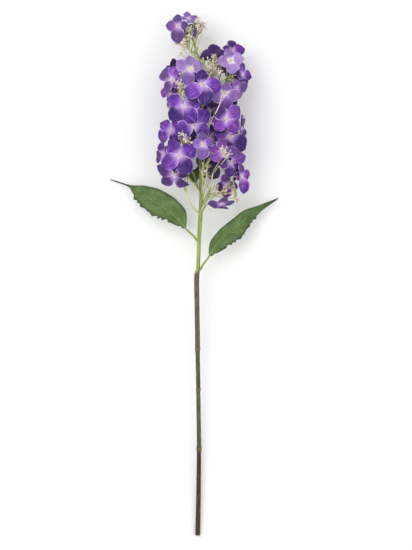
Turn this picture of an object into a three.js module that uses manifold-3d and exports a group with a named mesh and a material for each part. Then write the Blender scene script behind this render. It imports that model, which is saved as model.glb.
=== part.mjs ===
// A cut stem of panicle hydrangea, lying on a flat surface.
// Millimetres. The stem runs along +Y from its cut end, +Z is up, the surface is z = 0.
import * as THREE from "three";
import { mergeVertices } from "three/addons/utils/BufferGeometryUtils.js";
import Module from "manifold-3d";

const wasm = await Module();
wasm.setup();

// ---- driving dimensions ----
const STEM_RADIUS = 3.5; // woody stem at the cut end
const STEM_RISE = 0.075; // climb of the stem from the cut end to the flower head
const AXIS_HEIGHT = 49; // height of the flower head's axis above the surface
const GAP = 0.3; // clearance that neighbouring pieces keep
const PETAL_THICKNESS = 1.0;
const PETAL_CUP = 1; // how far the middle of a petal stands above its flat
const SHOULDER_ANGLE = 27; // the shoulders of a petal lie at most this far to each side of its tip, in degrees
const SHOULDER_SHARE = 0.33; // and at most this share of the way to the next petal
const SHOULDER_REACH = 0.9; // as a share of the petal's reach
const NOTCH_REACH = 0.72; // reach of the notch between two petals that meet, as a share of theirs
const NOTCH_DEEPENING = 0.0033; // less for each degree between the two petals
const LEAST_NOTCH = 0.2;
const STALK_LENGTH = 13; // stalk behind a floret
const STALK_RADIUS = 0.9;
const CALYX_RADIUS = 2.4;
const CALYX_RIM = 1.2; // distance of the calyx's rim and foot behind the throat
const CALYX_FOOT = 5;
const STALK_SIDES = 6;
const STEM_SIDES = 8;
const TRUNK_RADII = [1.9, 1.6, 1.4, 1.2]; // a branch from the stem to its end
const TRUNK_SIDES = 6;
const TWIG_RADIUS = 0.8;
const TWIG_SIDES = 5;
const BUD_RADIUS = 2.4;
const CLEARING_REACH = 25; // a branch is kept off the stem this far to each side of its root
const CLEARING_RADII = [3.4, 3.1, 2.9];
const SLIDE_STEP = 1.5; // a floret shifts along its stalk in such steps until it is clear
const MOST_SLIDES = 22;
const BACK_FLORET_REACH = 26; // petals of the florets on the back and the underside
const BACK_RING = 43; // distance of those florets from the head's axis
const CROWN_RING = 20; // and of the smaller ones at the top
const BACK_TILT = 18; // range of their pitch, in degrees

const COLOURS = {
  wood: 0x6b5f4e,
  green: 0x93a552,
  leaf: 0x5f7f4c,
  darkLeaf: 0x3c4a34,
  violets: [0x6a35ac, 0x5a2aa0, 0x7b3fb8, 0x8a45a8, 0x9a78cc],
};

// ---- small helpers ----
const v3 = (x, y, z) => new THREE.Vector3(x, y, z);
const radians = THREE.MathUtils.degToRad;

// Height of the stem's centre line at a distance y from the cut end.
const stemHeight = (y) => Math.min(STEM_RADIUS + STEM_RISE * y, AXIS_HEIGHT);

// A repeatable number from 0 to 1 for each whole number.
function chance(n) {
  const x = Math.sin(n * 127.1 + 311.7) * 43758.5453;
  return x - Math.floor(x);
}

function solidOf(geometry) {
  const bare = (geometry.index ? geometry.toNonIndexed() : geometry).clone();
  bare.deleteAttribute("normal");
  bare.deleteAttribute("uv");
  const merged = mergeVertices(bare, 1e-4);
  return new wasm.Manifold(
    new wasm.Mesh({
      numProp: 3,
      vertProperties: merged.attributes.position.array,
      triVerts: new Uint32Array(merged.index.array),
    }),
  );
}

function geometryOf(solid) {
  const mesh = solid.getMesh();
  const geometry = new THREE.BufferGeometry();
  geometry.setAttribute("position", new THREE.BufferAttribute(mesh.vertProperties, 3));
  geometry.setIndex(new THREE.BufferAttribute(mesh.triVerts, 1));
  geometry.computeVertexNormals();
  return geometry;
}

// A closed round tube along a smooth line through the points, with a radius at each point.
function tubeSolid(points, radii, sides, steps) {
  const line = new THREE.CatmullRomCurve3(points, false, "centripetal");
  const frames = line.computeFrenetFrames(steps, false);
  const positions = [];
  const index = [];
  for (let i = 0; i <= steps; i++) {
    const t = i / steps;
    const place = Math.min(t * (radii.length - 1), radii.length - 1.001);
    const k = Math.floor(place);
    const radius = THREE.MathUtils.lerp(radii[k], radii[k + 1], place - k);
    const centre = line.getPoint(t);
    for (let j = 0; j < sides; j++) {
      const a = (j / sides) * Math.PI * 2;
      const p = centre.clone();
      p.addScaledVector(frames.normals[i], Math.cos(a) * radius);
      p.addScaledVector(frames.binormals[i], Math.sin(a) * radius);
      positions.push(p.x, p.y, p.z);
    }
  }
  for (let i = 0; i < steps; i++) {
    for (let j = 0; j < sides; j++) {
      const a = i * sides + j;
      const b = i * sides + ((j + 1) % sides);
      index.push(a, b, a + sides, b, b + sides, a + sides);
    }
  }
  for (const [ring, flip] of [[0, true], [steps, false]]) {
    for (let j = 1; j < sides - 1; j++) {
      const fan = [ring * sides, ring * sides + j, ring * sides + j + 1];
      index.push(...(flip ? fan.reverse() : fan));
    }
  }
  const geometry = new THREE.BufferGeometry();
  geometry.setAttribute("position", new THREE.Float32BufferAttribute(positions, 3));
  geometry.setIndex(index);
  const solid = solidOf(geometry);
  return solid.volume() > 0 ? solid : solidOf(flipped(geometry));
}

function flipped(geometry) {
  const index = Array.from(geometry.index.array);
  for (let i = 0; i < index.length; i += 3) {
    [index[i + 1], index[i + 2]] = [index[i + 2], index[i + 1]];
  }
  return geometry.clone().setIndex(index);
}

const group = new THREE.Group();
const placed = []; // solids already in place, with their boxes

function boxOf(solid) {
  const b = solid.boundingBox();
  return new THREE.Box3(v3(...b.min), v3(...b.max));
}

function isClear(solid) {
  const box = boxOf(solid);
  return placed.every((other) => !box.intersectsBox(other.box) || solid.intersect(other.solid).isEmpty());
}

// What stays of a solid that has been cut: its largest lump.
function largestOf(solid) {
  return solid.decompose().sort((a, b) => b.volume() - a.volume())[0];
}

function place(name, solid, colour, roughness) {
  const material = new THREE.MeshStandardMaterial({ color: colour, roughness, metalness: 0 });
  const mesh = new THREE.Mesh(geometryOf(solid), material);
  mesh.name = name;
  group.add(mesh);
  placed.push({ solid, box: boxOf(solid) });
}

// ---- the stem: woody below, green above, thinning out through the flower head ----
// Distance from the cut end, sideways offset and radius; the nodes are the thicker places.
const STEM = [
  [0, -2, 3.5], [45, -1, 3.3], [120, 0, 3.1], [127, 0, 3.7], [134, 0, 3.1], [208, -1, 3.0],
  [213, -1, 3.3], [218, -1, 3.0], [266, -2, 3.1], [272, -2, 3.8], [279, -2, 3.5], [340, -3, 3.5],
  [382, -3, 3.7], [388, -1.5, 3.0], [430, 0, 3.1], [462, 2, 3.4], [493, 3, 2.6], [551, 2, 2.3],
  [600, 3, 2.0], [640, 5, 1.8], [676, 5, 1.6], [700, -3, 1.4], [718, -9, 1.2], [733, -13, 1.0],
];

function stemPoint(y) {
  let i = 1;
  while (i < STEM.length - 1 && STEM[i][0] < y) i++;
  const [y0, x0] = STEM[i - 1];
  const [y1, x1] = STEM[i];
  return v3(THREE.MathUtils.lerp(x0, x1, (y - y0) / (y1 - y0)), y, stemHeight(y));
}

function buildStem() {
  const points = STEM.map(([y, x]) => v3(x, y, stemHeight(y)));
  const radii = STEM.map(([, , radius]) => radius);
  let solid = tubeSolid(points, radii, STEM_SIDES, (STEM.length - 1) * 2);
  solid = solid.translate([0, 0, -solid.boundingBox().min[2]]);
  place("main_stem", solid, COLOURS.wood, 0.8);
}

// ---- branches of the flower head, each with its twigs and closed buds ----
// A branch leaves the stem at a height, and its way is given by points to the side of and above the stem.
const BRANCHES = {
  branch_left_low: { from: 466, way: [[-11, 480, 50], [-18, 496, 53], [-21, 512, 56]], buds: [[-16, 520, 62], [-26, 522, 60]] },
  branch_right_low: { from: 468, way: [[9, 484, 52], [15, 496, 56], [16, 512, 58]], buds: [[34, 500, 58], [48, 498, 62], [52, 489, 60], [45, 505, 56]] },
  branch_back_low: { from: 474, way: [[3, 486, 36], [2, 500, 30], [0, 514, 28]], buds: [[-8, 522, 24], [10, 524, 24]] },
  branch_left_middle: { from: 496, way: [[-6, 508, 46], [-15, 520, 44], [-20, 544, 44]], buds: [[-24, 572, 62], [-18, 576, 64], [-30, 568, 58]] },
  branch_right_middle: { from: 530, way: [[12, 540, 54], [20, 554, 58], [24, 572, 60]], buds: [[32, 556, 70], [37, 560, 68], [28, 586, 68]] },
  branch_back_middle: { from: 560, way: [[2, 572, 38], [0, 586, 31], [0, 600, 28]], buds: [[-10, 606, 25], [12, 608, 26]] },
  branch_left_high: { from: 606, way: [[-8, 618, 52], [-16, 632, 54], [-22, 648, 56]], buds: [[-26, 640, 66], [-32, 646, 62], [-22, 636, 68]] },
  branch_right_high: { from: 624, way: [[14, 636, 52], [24, 650, 54], [32, 668, 56]], buds: [[18, 672, 62], [24, 676, 60], [22, 664, 64], [44, 660, 64]] },
  branch_back_high: { from: 650, way: [[6, 662, 40], [4, 676, 35], [2, 690, 33]], buds: [[-6, 700, 34], [12, 700, 32]] },
  branch_top: { from: 690, way: [[-12, 700, 54], [-17, 712, 56], [-18, 724, 56]], buds: [[-22, 706, 62], [-28, 712, 58], [-12, 732, 62], [-2, 742, 58]] },
};

function buildBranch(name, { from, way, buds }) {
  const root = stemPoint(from);
  const points = [root, ...way.map((p) => v3(...p))];
  const trunk = tubeSolid(points, TRUNK_RADII, TRUNK_SIDES, 6);
  const along = [stemPoint(from - CLEARING_REACH), root, stemPoint(from + CLEARING_REACH)];
  const clearing = placed[0].solid.add(tubeSolid(along, CLEARING_RADII, STEM_SIDES, 4));
  let solid = largestOf(trunk.subtract(clearing));
  const fork = points[2];
  for (const bud of buds) {
    const end = v3(...bud);
    const bend = fork.clone().lerp(end, 0.5).add(v3(0, -2, 3));
    const twig = tubeSolid([fork, bend, end], [TWIG_RADIUS, TWIG_RADIUS, TWIG_RADIUS], TWIG_SIDES, 3);
    const knob = solidOf(new THREE.IcosahedronGeometry(BUD_RADIUS, 0).translate(...bud));
    const spray = twig.add(knob);
    if (isClear(spray)) solid = solid.add(spray);
  }
  place(name, solid, COLOURS.green, 0.6);
}

// ---- florets: four petals around a throat, a calyx and a short stalk behind ----
// Each petal is [direction in degrees, reach, how far the tip stands forward].
// yaw turns the face to the side, pitch turns it up the stem.
const FLORETS = {
  floret_front_top: { at: [6, 651, 97], yaw: 4, pitch: 0, petals: [[-2, 27, 2], [99, 21, 7], [218, 30, 0], [276, 30, 2]] },
  floret_front_left: { at: [-22, 621, 90], yaw: -8, pitch: -8, petals: [[17, 29, -5], [157, 25, -7], [229, 29, 2], [309, 30, 2]] },
  floret_front_low: { at: [-28, 550, 86], yaw: -14, pitch: 0, petals: [[25, 27, -2], [133, 26, -4], [213, 29, 2], [299, 30, 3]] },
  floret_front_right: { at: [39, 602, 84], yaw: 18, pitch: 0, petals: [[36, 27, 2], [140, 25, 2], [214, 23, 2], [315, 25, 2]] },
  floret_middle_left: { at: [-41, 587, 74], yaw: -38, pitch: 0, petals: [[35, 20, 2], [146, 22, 4], [212, 27, 0], [295, 22, 2]] },
  floret_middle_deep: { at: [-6, 593, 84], yaw: 0, pitch: 0, petals: [[53, 29, 0], [125, 24, -3], [200, 30, 0], [330, 23, 4]] },
  floret_upper_pale: { at: [-12, 673, 84], yaw: -8, pitch: 12, petals: [[14, 20, 4], [93, 21, 2], [148, 25, 0], [255, 24, 4]] },
  floret_left_upper: { at: [-38, 659, 70], yaw: -36, pitch: 10, petals: [[-25, 18, 2], [70, 22, 2], [142, 25, 2], [235, 20, 2]] },
  floret_left_small: { at: [-42, 640, 66], yaw: -30, pitch: 0, petals: [[30, 13, 2], [100, 17, 3], [172, 17, 2], [270, 15, 2]] },
  floret_left_edge: { at: [-43, 628, 50], yaw: -80, pitch: -5, petals: [[20, 14, 2], [105, 14, 2], [195, 14, 2], [285, 13, 2]] },
  floret_right_lilac: { at: [45, 687, 78], yaw: 18, pitch: 8, petals: [[12, 20, 3], [108, 17, 3], [196, 20, 2], [282, 21, 2]] },
  floret_right_crown: { at: [48, 701, 62], yaw: 25, pitch: 25, petals: [[15, 19, 2], [92, 18, 2], [165, 16, 2], [270, 18, 2]] },
  floret_turned_away: { at: [22, 693, 70], yaw: 170, pitch: 30, petals: [[10, 20, -2], [95, 20, 0], [170, 20, 0], [265, 18, 0]] },
  floret_right_upper: { at: [62, 667, 62], yaw: 48, pitch: 0, petals: [[0, 18, 2], [95, 18, 2], [180, 16, 2], [275, 18, 2]] },
  floret_right_small: { at: [53, 646, 72], yaw: 24, pitch: 0, petals: [[12, 18, 2], [100, 14, 2], [172, 17, 2], [290, 15, 2]] },
  floret_cream_throat: { at: [37, 639, 84], yaw: 8, pitch: -10, petals: [[-16, 23, 0], [82, 17, 5], [206, 21, 0], [277, 23, 0]] },
  floret_right_edge: { at: [60, 592, 52], yaw: 75, pitch: 0, petals: [[30, 19, 2], [115, 19, 2], [205, 19, 2], [300, 19, 2]] },
  floret_right_large: { at: [45, 577, 74], yaw: 24, pitch: 0, petals: [[52, 21, -6], [-29, 29, 0], [165, 22, 0], [245, 20, 2]] },
  floret_shaded: { at: [16, 578, 68], yaw: 0, pitch: 0, petals: [[0, 18, 2], [85, 18, 2], [175, 18, 2], [262, 18, 2]] },
  floret_arched: { at: [33, 562, 82], yaw: 5, pitch: -30, petals: [[3, 24, 0], [100, 18, -4], [165, 21, 0], [215, 22, 0]] },
  floret_centre_pale: { at: [6, 565, 78], yaw: 0, pitch: 5, petals: [[20, 16, 2], [90, 17, 5], [180, 16, 2], [268, 22, 0]] },
  floret_right_low: { at: [46, 541, 70], yaw: 24, pitch: 0, petals: [[24, 26, 0], [-38, 20, 2], [190, 19, 2], [256, 22, 2]] },
  floret_edge_low: { at: [56, 521, 62], yaw: 50, pitch: 0, petals: [[5, 20, 2], [95, 18, 2], [180, 15, 2], [280, 25, 2]] },
  floret_hanging: { at: [41, 507, 58], yaw: 10, pitch: -15, petals: [[0, 16, 2], [100, 18, 2], [190, 17, 2], [275, 18, 2]] },
  floret_lowest: { at: [33, 482, 70], yaw: 0, pitch: -58, petals: [[-8, 19, -3], [80, 17, 0], [196, 21, -3], [275, 18, 0]] },
  floret_left_low: { at: [-35, 523, 74], yaw: -12, pitch: -30, petals: [[-12, 20, -2], [158, 28, -2], [208, 25, 0], [318, 26, 0]] },
  floret_left_pointed: { at: [-50, 553, 52], yaw: -62, pitch: 0, petals: [[10, 21, 2], [100, 20, 2], [190, 24, 2], [280, 20, 2]] },
  floret_crown_left: { at: [-29, 737, 64], yaw: -18, pitch: 5, petals: [[5, 14, 2], [106, 17, 2], [184, 19, 2], [267, 25, 2]] },
  floret_crown_blue: { at: [-15, 748, 52], yaw: 10, pitch: 50, petals: [[10, 13, 2], [100, 14, 2], [190, 13, 2], [280, 12, 2]] },
  floret_crown_edge: { at: [-9, 734, 50], yaw: 62, pitch: -24, petals: [[0, 12, 2], [90, 12, 2], [180, 12, 2], [270, 12, 2]] },
  floret_tip: { at: [-4, 751, 54], yaw: 30, pitch: 60, petals: [[0, 8, 1], [90, 8, 1], [180, 8, 1], [270, 8, 1]] },
};

// The back and the underside: rows of three around the axis, turned a little from row to row.
const BACK_ROWS = [538, 578, 618, 658];
const BACK_YAWS = [112, 180, 248];
const CROWN_BACKS = [
  { y: 690, side: 40, yaw: 152, reach: 22 },
  { y: 676, side: -28, yaw: 222, reach: 20 },
  { y: 733, side: -17, yaw: 190, reach: 14 },
];

function backPetals(seed, reach) {
  const spin = 90 * chance(seed + 50);
  return [0, 1, 2, 3].map((k) => [
    spin + 90 * k + 14 * (chance(seed * 4 + k) - 0.5),
    reach * (1 - 0.15 * chance(seed * 4 + k + 200)),
    -3 * chance(seed * 4 + k + 100),
  ]);
}

function addBackFlorets() {
  const spots = [];
  BACK_ROWS.forEach((y, row) => {
    for (const turn of BACK_YAWS) {
      const yaw = turn + (row % 2 ? 9 : -9);
      const side = stemPoint(y).x + 4 + Math.sin(radians(yaw)) * BACK_RING;
      spots.push({ y, side, yaw, reach: BACK_FLORET_REACH, settle: turn === 180 });
    }
  });
  spots.push(...CROWN_BACKS);
  spots.forEach(({ y, side, yaw, reach, settle }, seed) => {
    const ring = reach < BACK_FLORET_REACH ? CROWN_RING : BACK_RING;
    const z = AXIS_HEIGHT + Math.cos(radians(yaw)) * ring;
    const pitch = BACK_TILT * (chance(seed) - 0.5);
    const petals = backPetals(seed, reach);
    FLORETS["floret_back_" + (seed + 1)] = { at: [side, y, z], yaw, pitch, petals, settle };
  });
}

// The outline of a floret as rings of points: at each petal its tip, its shoulders and the notches beside it.
function rimOf(petals) {
  const sorted = petals.slice().sort((a, b) => a[0] - b[0]);
  const rim = [];
  sorted.forEach(([angle, reach, lift], k) => {
    const [next, nextReach, nextLift] = sorted[(k + 1) % sorted.length];
    const gapAngle = (((next - angle) % 360) + 360) % 360;
    const shoulder = Math.min(SHOULDER_ANGLE, gapAngle * SHOULDER_SHARE);
    const notch = Math.max(LEAST_NOTCH, NOTCH_REACH - gapAngle * NOTCH_DEEPENING);
    rim.push([angle, reach, lift]);
    rim.push([angle + shoulder, reach * SHOULDER_REACH, lift * 0.8 + PETAL_CUP]);
    rim.push([angle + gapAngle / 2, ((reach + nextReach) / 2) * notch, (lift + nextLift) * 0.15]);
    rim.push([angle + gapAngle - shoulder, nextReach * SHOULDER_REACH, nextLift * 0.8 + PETAL_CUP]);
  });
  return rim;
}

// The floret's own frame: the throat is at the origin and the face looks along +Z.
function floretSolid(petals, grow) {
  const rim = rimOf(petals);
  const sides = rim.length;
  const half = PETAL_THICKNESS / 2 + grow;
  const positions = [];
  for (const level of [half, -half]) {
    positions.push(0, 0, level);
    for (const share of [0.5, 1]) {
      for (const [angle, reach, lift] of rim) {
        const r = reach * share + (share === 1 ? grow : 0);
        const height = share === 1 ? lift : lift * 0.25 + PETAL_CUP;
        positions.push(Math.cos(radians(angle)) * r, Math.sin(radians(angle)) * r, height + level);
      }
    }
  }
  const index = [];
  const back = 1 + sides * 2;
  for (let j = 0; j < sides; j++) {
    const k = (j + 1) % sides;
    for (const [base, turn] of [[0, 1], [back, -1]]) {
      const [a, b] = turn > 0 ? [j, k] : [k, j];
      index.push(base, base + 1 + a, base + 1 + b);
      index.push(base + 1 + a, base + 1 + sides + a, base + 1 + b);
      index.push(base + 1 + b, base + 1 + sides + a, base + 1 + sides + b);
    }
    const front = 1 + sides;
    index.push(front + j, back + front + j, front + k);
    index.push(front + k, back + front + j, back + front + k);
  }
  const plate = new THREE.BufferGeometry();
  plate.setAttribute("position", new THREE.Float32BufferAttribute(positions, 3));
  plate.setIndex(index);
  const profile = [
    new THREE.Vector2(0, -STALK_LENGTH),
    new THREE.Vector2(STALK_RADIUS + grow, -STALK_LENGTH),
    new THREE.Vector2(STALK_RADIUS + grow, -CALYX_FOOT),
    new THREE.Vector2(CALYX_RADIUS + grow, -CALYX_RIM),
    new THREE.Vector2(0, 0),
  ];
  const calyx = new THREE.LatheGeometry(profile, STALK_SIDES).rotateX(Math.PI / 2);
  return solidOf(plate).add(solidOf(calyx));
}

function facing(yaw, pitch) {
  const a = radians(yaw);
  const b = radians(pitch);
  return v3(Math.sin(a) * Math.cos(b), Math.sin(b), Math.cos(a) * Math.cos(b));
}

// Turns the floret's frame so that +Z looks along the facing, with its +Y as near the stem's way as it can be.
function floretMatrix(at, yaw, pitch) {
  const z = facing(yaw, pitch);
  const x = v3(0, 1, 0).cross(z).normalize();
  const y = z.clone().cross(x);
  return new THREE.Matrix4().makeBasis(x, y, z).setPosition(at);
}

function buildFloret(name, { at, yaw, pitch, petals, settle }, order) {
  const way = facing(yaw, pitch);
  const solid = floretSolid(petals, 0);
  const test = floretSolid(petals, GAP / 2);
  for (let n = 0; n <= MOST_SLIDES; n++) {
    const slide = (n % 2 ? -1 : 1) * Math.ceil(n / 2) * SLIDE_STEP;
    const spot = v3(...at).addScaledVector(way, slide);
    let matrix = floretMatrix(spot, yaw, pitch);
    const low = solid.transform(matrix.elements).boundingBox().min[2];
    if (low < 0 || settle) {
      spot.z -= low;
      matrix = floretMatrix(spot, yaw, pitch);
    }
    if (isClear(test.transform(matrix.elements))) {
      place(name, solid.transform(matrix.elements), COLOURS.violets[order % COLOURS.violets.length], 0.75);
      return;
    }
    if (settle) at = [at[0], at[1] + SLIDE_STEP, at[2]];
  }
  throw new Error(name + " finds no clear place");
}

// ---- leaves ----
// A leaf is its rib, as points, with its width to the left and to the right of the rib at every point,
// seen from above and looking towards the tip.
const LEAVES = {
  leaf_left: {
    stalk: [[-2.5, 431, 36], [-10, 438, 39], [-19, 445, 38]],
    rib: [[-19, 445, 38], [-31, 460, 37], [-48, 474, 33], [-68, 488, 27], [-86, 500, 20], [-100, 508, 14], [-132, 519, 6]],
    left: [1, 5, 13, 17, 11, 1.6, 0.6],
    right: [1, 18, 21, 19, 11, 1.4, 0.6],
  },
  leaf_right: {
    stalk: [[2.5, 388, 33], [6, 395, 35], [14, 404, 35]],
    rib: [[14, 404, 35], [24, 422, 34], [39, 437, 31], [55, 450, 27], [71, 464, 22], [89, 476, 16], [116, 491, 8]],
    left: [1, 10, 12, 12, 11, 5, 0.6],
    right: [1, 9, 14, 15, 8, 4, 0.6],
  },
  leaf_small: {
    stalk: [[-4, 506, 34], [-5, 509, 32], [-6, 512, 31]],
    rib: [[-6, 512, 31], [-7, 519, 30], [-6, 526, 30], [-4, 533, 32]],
    left: [1, 7, 8, 0.8],
    right: [1, 7, 7, 0.8],
  },
};
const LEAF_THICKNESS = 0.9;
const LEAF_STATIONS = 12;
const SMALL_LEAF_STATIONS = 5;
const PETIOLE_RADII = [1.9, 1.5, 1.3];
const SMALL_PETIOLE_RADII = [0.8, 0.8, 0.8];
const JOINT_SPAN = [375, 410, 445]; // the leaves are kept off the stem along this part of it
const JOINT_RADII = [4.4, 3.9, 4.1];
const LEAF_FOLD = 0.22; // how far the edges stand above the rib, as a share of the width

function sampled(list, t) {
  const place = Math.min(t * (list.length - 1), list.length - 1.001);
  const k = Math.floor(place);
  const s = place - k;
  return THREE.MathUtils.lerp(list[k], list[k + 1], s * s * (3 - 2 * s));
}

function leafSolid({ rib, left, right }, stations) {
  const line = new THREE.CatmullRomCurve3(rib.map((p) => v3(...p)), false, "centripetal");
  const shares = [-1, -0.5, 0, 0.5, 1];
  const across = shares.length;
  const positions = [];
  for (const level of [LEAF_THICKNESS / 2, -LEAF_THICKNESS / 2]) {
    for (let i = 0; i <= stations; i++) {
      const t = i / stations;
      const p = line.getPoint(t);
      const way = line.getTangent(t);
      const side = v3(-way.y, way.x, 0).normalize();
      for (const share of shares) {
        const width = share > 0 ? sampled(left, t) : sampled(right, t);
        const q = p.clone().addScaledVector(side, share * width);
        q.z += Math.abs(share) * width * LEAF_FOLD + level;
        positions.push(q.x, q.y, q.z);
      }
    }
  }
  const index = [];
  const under = (stations + 1) * across;
  const quad = (a, b, c, d) => index.push(a, b, c, a, c, d);
  for (let i = 0; i < stations; i++) {
    for (let j = 0; j < across - 1; j++) {
      const a = i * across + j;
      quad(a, a + across, a + across + 1, a + 1);
      quad(under + a, under + a + 1, under + a + across + 1, under + a + across);
    }
    const first = i * across;
    const last = first + across - 1;
    quad(first, under + first, under + first + across, first + across);
    quad(last, last + across, under + last + across, under + last);
  }
  const end = stations * across;
  for (let j = 0; j < across - 1; j++) {
    quad(j, j + 1, under + j + 1, under + j);
    quad(end + j, under + end + j, under + end + j + 1, end + j + 1);
  }
  const geometry = new THREE.BufferGeometry();
  geometry.setAttribute("position", new THREE.Float32BufferAttribute(positions, 3));
  geometry.setIndex(index);
  const solid = solidOf(geometry);
  return solid.volume() > 0 ? solid : solidOf(flipped(geometry));
}

function buildLeaf(name, leaf) {
  const small = name === "leaf_small";
  const radii = small ? SMALL_PETIOLE_RADII : PETIOLE_RADII;
  const stalk = tubeSolid(leaf.stalk.map((p) => v3(...p)), radii, STALK_SIDES, 4);
  const clear = tubeSolid(JOINT_SPAN.map(stemPoint), JOINT_RADII, 12, 10);
  const joined = leafSolid(leaf, small ? SMALL_LEAF_STATIONS : LEAF_STATIONS).add(stalk);
  place(name, largestOf(joined.subtract(clear)), small ? COLOURS.darkLeaf : COLOURS.leaf, 0.5);
}

// ---- assembly ----
buildStem();
for (const [name, leaf] of Object.entries(LEAVES)) buildLeaf(name, leaf);
for (const [name, branch] of Object.entries(BRANCHES)) buildBranch(name, branch);
addBackFlorets();
Object.entries(FLORETS).forEach(([name, floret], order) => buildFloret(name, floret, order));

// The origin is under the middle of the whole stem, on the surface.
const whole = new THREE.Box3().setFromObject(group);
const middle = whole.getCenter(v3(0, 0, 0));
group.position.set(-middle.x, -middle.y, -whole.min.z);

export default group;
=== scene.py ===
import math
import random

import bpy
import numpy as np
from bpy.props import FloatProperty, FloatVectorProperty, IntProperty, PointerProperty
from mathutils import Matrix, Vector, noise
from mathutils.bvhtree import BVHTree


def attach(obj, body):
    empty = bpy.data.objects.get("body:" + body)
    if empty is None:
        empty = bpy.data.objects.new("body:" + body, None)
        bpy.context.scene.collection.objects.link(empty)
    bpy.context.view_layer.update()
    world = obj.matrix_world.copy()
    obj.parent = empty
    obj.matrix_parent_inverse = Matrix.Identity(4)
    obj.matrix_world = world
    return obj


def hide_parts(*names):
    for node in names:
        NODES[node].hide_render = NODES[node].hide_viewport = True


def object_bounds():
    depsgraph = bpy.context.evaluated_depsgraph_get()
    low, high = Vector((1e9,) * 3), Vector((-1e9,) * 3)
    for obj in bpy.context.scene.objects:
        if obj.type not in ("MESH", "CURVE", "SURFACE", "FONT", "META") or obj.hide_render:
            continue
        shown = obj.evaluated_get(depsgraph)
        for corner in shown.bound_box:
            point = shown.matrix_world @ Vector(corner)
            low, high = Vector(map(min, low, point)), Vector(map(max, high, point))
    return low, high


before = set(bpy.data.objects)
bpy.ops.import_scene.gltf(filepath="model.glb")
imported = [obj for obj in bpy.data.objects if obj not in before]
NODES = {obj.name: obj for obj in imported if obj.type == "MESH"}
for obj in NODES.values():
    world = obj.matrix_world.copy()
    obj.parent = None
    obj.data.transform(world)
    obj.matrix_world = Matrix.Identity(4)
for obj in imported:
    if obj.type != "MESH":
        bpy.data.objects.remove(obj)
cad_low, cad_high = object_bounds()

bl_info = {
    "name": "Panicle Hydrangea Stem",
    "version": (1, 0, 0),
    "blender": (4, 5, 0),
    "location": "3D View > Sidebar > Hydrangea",
    "description": "Builds the petals, stalks, buds, leaves and stem of a cut panicle hydrangea",
    "category": "Object",
}

UP = Vector((0, 0, 1))


# ---------------------------------------------------------------- colours

def linear(red, green, blue):
    """A colour given in everyday 0 to 255 values, as the shader wants it."""
    def one(value):
        share = value / 255
        return share / 12.92 if share <= 0.04045 else ((share + 0.055) / 1.055) ** 2.4
    return (one(red), one(green), one(blue), 1.0)


def colour_property(name, red, green, blue, description):
    return FloatVectorProperty(
        name=name, description=description, subtype="COLOR", size=4, min=0, max=1,
        default=linear(red, green, blue),
    )


class HydrangeaColours(bpy.types.PropertyGroup):
    petal_deep: colour_property("Deep violet", 48, 16, 104, "Darkest part of a petal")
    petal_bright: colour_property("Bright violet", 126, 62, 196, "Open part of a petal")
    petal_magenta: colour_property("Magenta", 142, 54, 156, "Redder petals of the older florets")
    petal_lilac: colour_property("Lilac", 204, 164, 236, "Rim of a petal and its paler base")
    petal_throat: colour_property("Throat", 226, 222, 206, "Cream green centre of a floret")
    petal_back: colour_property("Petal back", 120, 92, 150, "Greyish underside of a petal")
    stalk_pale: colour_property("Pale stalk", 220, 214, 164, "Thin stalks close to the florets")
    stalk_green: colour_property("Green stalk", 138, 154, 74, "Branches of the flower head")
    bud_cream: colour_property("Bud", 236, 226, 212, "Closed buds")
    bud_blush: colour_property("Bud blush", 150, 96, 120, "Blush on the tips of the buds")
    leaf_top: colour_property("Leaf", 78, 103, 50, "Upper side of a leaf")
    leaf_dark: colour_property("Leaf edge", 34, 52, 30, "Darker edges and shaded parts of a leaf")
    leaf_vein: colour_property("Leaf vein", 148, 172, 110, "Veins of a leaf")
    bark_dark: colour_property("Dark bark", 70, 60, 45, "Bark at the cut end")
    bark_olive: colour_property("Olive bark", 92, 90, 64, "Bark in the middle of the stem")
    bark_grey: colour_property("Grey bark", 104, 94, 80, "Bark below the leaves")
    floor: colour_property("Floor", 250, 250, 250, "Plain pale floor")


class HydrangeaSizes(bpy.types.PropertyGroup):
    petal_thickness: FloatProperty(
        name="Petal thickness", description="Thickness of the petal tissue",
        default=0.00045, min=0.0001, max=0.002, unit="LENGTH", precision=5)
    petal_fullness: FloatProperty(
        name="Petal fullness", description="Half the width of a petal as a share of its length",
        default=0.445, min=0.2, max=0.6, subtype="FACTOR")
    stalk_radius: FloatProperty(
        name="Stalk radius", description="Radius of a floret's stalk",
        default=0.0009, min=0.0002, max=0.003, unit="LENGTH", precision=5)
    calyx_radius: FloatProperty(
        name="Calyx radius", description="Radius of the green cup under a floret",
        default=0.0021, min=0.0005, max=0.005, unit="LENGTH", precision=5)
    bud_radius: FloatProperty(
        name="Bud radius", description="Radius of one closed bud",
        default=0.0014, min=0.0005, max=0.004, unit="LENGTH", precision=5)
    buds_per_cluster: IntProperty(
        name="Buds in a cluster", description="Closed buds at the end of each twig",
        default=9, min=1, max=30)
    leaf_thickness: FloatProperty(
        name="Leaf thickness", description="Thickness of a leaf blade",
        default=0.0006, min=0.0002, max=0.003, unit="LENGTH", precision=5)
    vein_pairs: IntProperty(
        name="Vein pairs", description="Side veins on each side of a leaf's rib",
        default=9, min=3, max=20)


class HydrangeaStage(bpy.types.PropertyGroup):
    focal_length: FloatProperty(
        name="Focal length", description="Lens of the camera, in millimetres",
        default=200.0, min=20, max=400)
    view_length: FloatProperty(
        name="View length", description="Length of the picture, as a share of the stem's length",
        default=1.0436, min=1, max=3, subtype="FACTOR")
    view_aside: FloatProperty(
        name="View aside", description="How far the picture's middle is to the right of the stem's",
        default=0.0181, min=-0.2, max=0.2, unit="LENGTH")
    key_power: FloatProperty(
        name="Key light", description="Power of the large soft light, in watts",
        default=18.0, min=0, max=500)
    world_light: FloatProperty(
        name="Surrounding light", description="Strength of the even light all around",
        default=0.84, min=0, max=5)


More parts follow.
